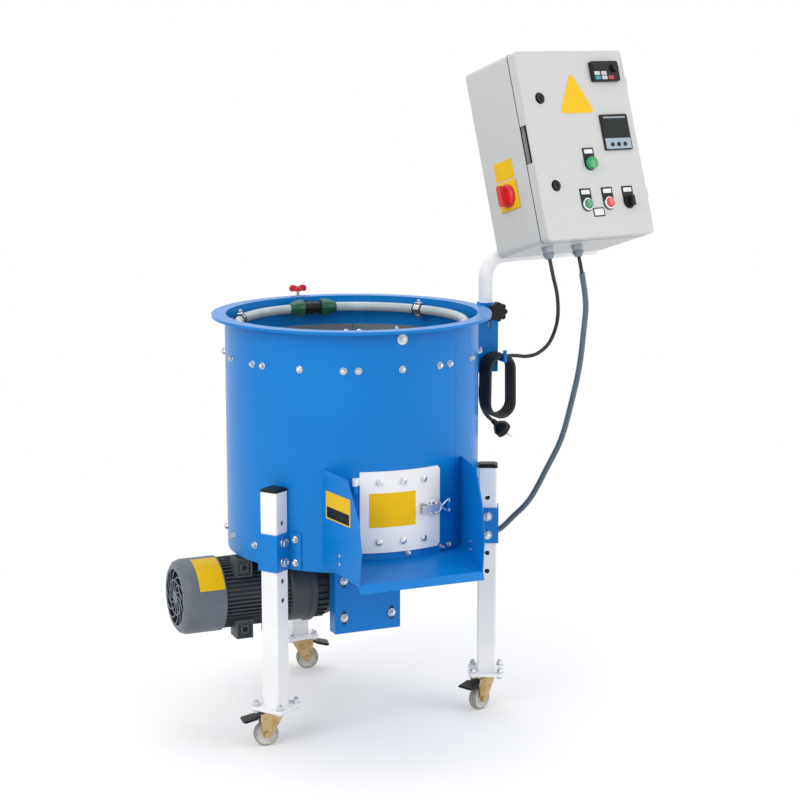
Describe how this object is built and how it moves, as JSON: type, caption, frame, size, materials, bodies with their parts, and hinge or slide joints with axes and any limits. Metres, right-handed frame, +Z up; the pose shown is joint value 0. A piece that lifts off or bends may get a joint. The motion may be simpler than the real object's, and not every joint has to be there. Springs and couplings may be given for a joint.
{
  "type": "walnut huller",
  "caption": "Open drum with a rotating floor disc on castor legs, a discharge door and chute, a geared motor below and a control box on a swivelling pole.",
  "frame": {"origin": "on the floor, under the middle of the machine's outline", "axes": "+Z up, the discharge faces -Y, the motor points to -X, the control box stands on the +X side"},
  "size_m": [1.0453, 0.736, 1.392],
  "materials": {
    "blue_paint": "satin",
    "white_paint": "satin",
    "grey_paint": "textured powder coat",
    "motor_paint": "satin paint",
    "steel": "brushed",
    "zinc": "yellow passivated",
    "black_plastic": "matte",
    "wheel": "satin",
    "hose": "satin",
    "brass": "nickel plated",
    "red_plastic": "gloss",
    "green_plastic": "gloss",
    "fittings": "matte",
    "gear": "matte",
    "cord": "matte"
  },
  "bodies": {
    "base": {"drum_shell": "blue_paint", "drum_floor": "blue_paint", "liner_panels": "steel", "liner_bolts": "steel", "spray_ring": "hose", "hose_coupling": "black_plastic", "hose_clamps": "steel", "valve_body": "brass", "discharge_chute": "blue_paint", "door_hinges": "blue_paint", "latch_keeper": "blue_paint", "legs": "white_paint", "leg_caps": "black_plastic", "leg_brackets": "blue_paint", "frame_bolts": "steel", "castor_plates": "zinc", "gearbox_bracket": "blue_paint", "gearbox_housing": "motor_paint", "shaft_bearing": "steel", "motor_frame": "motor_paint", "fan_cowl": "motor_paint", "terminal_box": "motor_paint", "pole_bracket": "blue_paint", "mains_lead": "cord", "mains_hank": "cord", "mains_plug": "cord", "motor_conduit": "hose"},
    "rotor": {"rotor_disc": "steel", "drive_shaft": "steel"},
    "motor_rotor": {"motor_shaft": "steel", "cooling_fan": "black_plastic"},
    "valve_lever": {"valve_handle": "red_plastic"},
    "door": {"discharge_door": "white_paint", "door_facing": "steel", "latch_base": "steel"},
    "toggle": {"latch_lever": "steel"},
    "bail": {"latch_bail": "steel"},
    "knob": {"clamp_knob": "black_plastic"},
    "control": {"pole": "white_paint", "box_body": "grey_paint", "box_fittings": "fittings", "mounting_plate": "gear"},
    "lid": {"box_door": "grey_paint", "panel_displays": "fittings", "panel_fittings": "fittings"},
    "lock_high": {"lock_upper": "black_plastic"},
    "lock_low": {"lock_lower": "black_plastic"},
    "start": {"start_button": "green_plastic"},
    "stop": {"stop_button": "red_plastic"},
    "selector": {"selector_knob": "black_plastic"},
    "isolator": {"main_switch": "red_plastic"},
    "castor_left": {"castor_fork_left": "zinc"},
    "wheel_left": {"castor_wheel_left": "wheel"},
    "pedal_left": {"castor_pedal_left": "black_plastic"},
    "castor_right": {"castor_fork_right": "zinc"},
    "wheel_right": {"castor_wheel_right": "wheel"},
    "pedal_right": {"castor_pedal_right": "black_plastic"},
    "castor_rear": {"castor_fork_rear": "zinc"},
    "wheel_rear": {"castor_wheel_rear": "wheel"},
    "pedal_rear": {"castor_pedal_rear": "black_plastic"}
  },
  "joints": [
    {"name": "rotor_spin", "type": "hinge", "parent": "base", "child": "rotor", "pos_m": [-0.14076, 0.0035, 0.385], "axis": [0, 0, 1], "continuous": true},
    {"name": "motor_spin", "type": "hinge", "parent": "base", "child": "motor_rotor", "pos_m": [-0.34076, 0.0435, 0.273], "axis": [-1, 0, 0], "continuous": true},
    {"name": "valve_turn", "type": "hinge", "parent": "base", "child": "valve_lever", "pos_m": [-0.14076, 0.3255, 0.865], "axis": [0, 0, 1], "range_deg": [0, 90]},
    {"name": "door_swing", "type": "hinge", "parent": "base", "child": "door", "pos_m": [-0.23816, -0.25025, 0.49], "axis": [0, 0, -1], "range_deg": [0, 95]},
    {"name": "latch_turn", "type": "hinge", "parent": "door", "child": "toggle", "pos_m": [-0.06615, -0.26266, 0.49], "axis": [0, 0, 1], "range_deg": [0, 150]},
    {"name": "bail_turn", "type": "hinge", "parent": "toggle", "child": "bail", "pos_m": [-0.07816, -0.2641, 0.49], "axis": [0, 0, 1], "range_deg": [-150, 0]},
    {"name": "castor_swivel_left", "type": "hinge", "parent": "base", "child": "castor_left", "pos_m": [-0.37646, -0.15849, 0.072], "axis": [0, 0, 1], "continuous": true},
    {"name": "wheel_spin_left", "type": "hinge", "parent": "castor_left", "child": "wheel_left", "pos_m": [-0.39829, -0.15581, 0.025], "axis": [-0.1219, -0.9925, 0], "continuous": true},
    {"name": "brake_left", "type": "hinge", "parent": "castor_left", "child": "pedal_left", "pos_m": [-0.40524, -0.15496, 0.063], "axis": [-0.1219, -0.9925, 0], "range_deg": [0, 14]},
    {"name": "castor_swivel_right", "type": "hinge", "parent": "base", "child": "castor_right", "pos_m": [0.11738, -0.11963, 0.072], "axis": [0, 0, 1], "continuous": true},
    {"name": "wheel_spin_right", "type": "hinge", "parent": "castor_right", "child": "wheel_right", "pos_m": [0.09713, -0.12822, 0.025], "axis": [0.3907, -0.9205, 0], "continuous": true},
    {"name": "brake_right", "type": "hinge", "parent": "castor_right", "child": "pedal_right", "pos_m": [0.09069, -0.13096, 0.063], "axis": [0.3907, -0.9205, 0], "range_deg": [0, 14]},
    {"name": "castor_swivel_rear", "type": "hinge", "parent": "base", "child": "castor_rear", "pos_m": [-0.1632, 0.28862, 0.072], "axis": [0, 0, 1], "continuous": true},
    {"name": "wheel_spin_rear", "type": "hinge", "parent": "castor_rear", "child": "wheel_rear", "pos_m": [-0.14195, 0.28292, 0.025], "axis": [0.2588, 0.9659, 0], "continuous": true},
    {"name": "brake_rear", "type": "hinge", "parent": "castor_rear", "child": "pedal_rear", "pos_m": [-0.13518, 0.28111, 0.063], "axis": [0.2588, 0.9659, 0], "range_deg": [0, 14]},
    {"name": "pole_swivel", "type": "hinge", "parent": "base", "child": "control", "pos_m": [0.16824, 0.0035, 0.8], "axis": [0, 0, 1], "range_deg": [-15, 15], "deforming": ["mains_lead", "motor_conduit"]},
    {"name": "knob_turn", "type": "hinge", "parent": "base", "child": "knob", "pos_m": [0.17624, -0.0365, 0.845], "axis": [0, -1, 0], "range_deg": [0, 180]},
    {"name": "box_lid", "type": "hinge", "parent": "control", "child": "lid", "pos_m": [0.50609, -0.02403, 1.18934], "axis": [-0.0673, 0.2914, 0.9542], "range_deg": [0, 110]},
    {"name": "lock_upper_turn", "type": "hinge", "parent": "lid", "child": "lock_high", "pos_m": [0.25287, -0.07409, 1.29471], "axis": [0.2147, -0.9298, 0.299], "range_deg": [0, 90]},
    {"name": "lock_lower_turn", "type": "hinge", "parent": "lid", "child": "lock_low", "pos_m": [0.26545, -0.12858, 1.11627], "axis": [0.2147, -0.9298, 0.299], "range_deg": [0, 90]},
    {"name": "start_push", "type": "slide", "parent": "lid", "child": "start", "axis": [-0.2147, 0.9298, -0.299], "range_m": [0, 0.003], "stiffness_N_per_m": 900},
    {"name": "stop_push", "type": "slide", "parent": "lid", "child": "stop", "axis": [-0.2147, 0.9298, -0.299], "range_m": [0, 0.003], "stiffness_N_per_m": 900},
    {"name": "selector_turn", "type": "hinge", "parent": "lid", "child": "selector", "pos_m": [0.45841, -0.09754, 1.07428], "axis": [-0.2147, 0.9298, -0.299], "range_deg": [-45, 45]},
    {"name": "isolator_turn", "type": "hinge", "parent": "control", "child": "isolator", "pos_m": [0.19834, -0.04687, 1.09078], "axis": [0.9744, 0.225, 0], "range_deg": [0, 90]}
  ],
  "couplings": [
    {"joint": "motor_spin", "follows": "rotor_spin", "ratio": 10},
    {"joint": "bail_turn", "follows": "latch_turn", "ratio": -1}
  ]
}
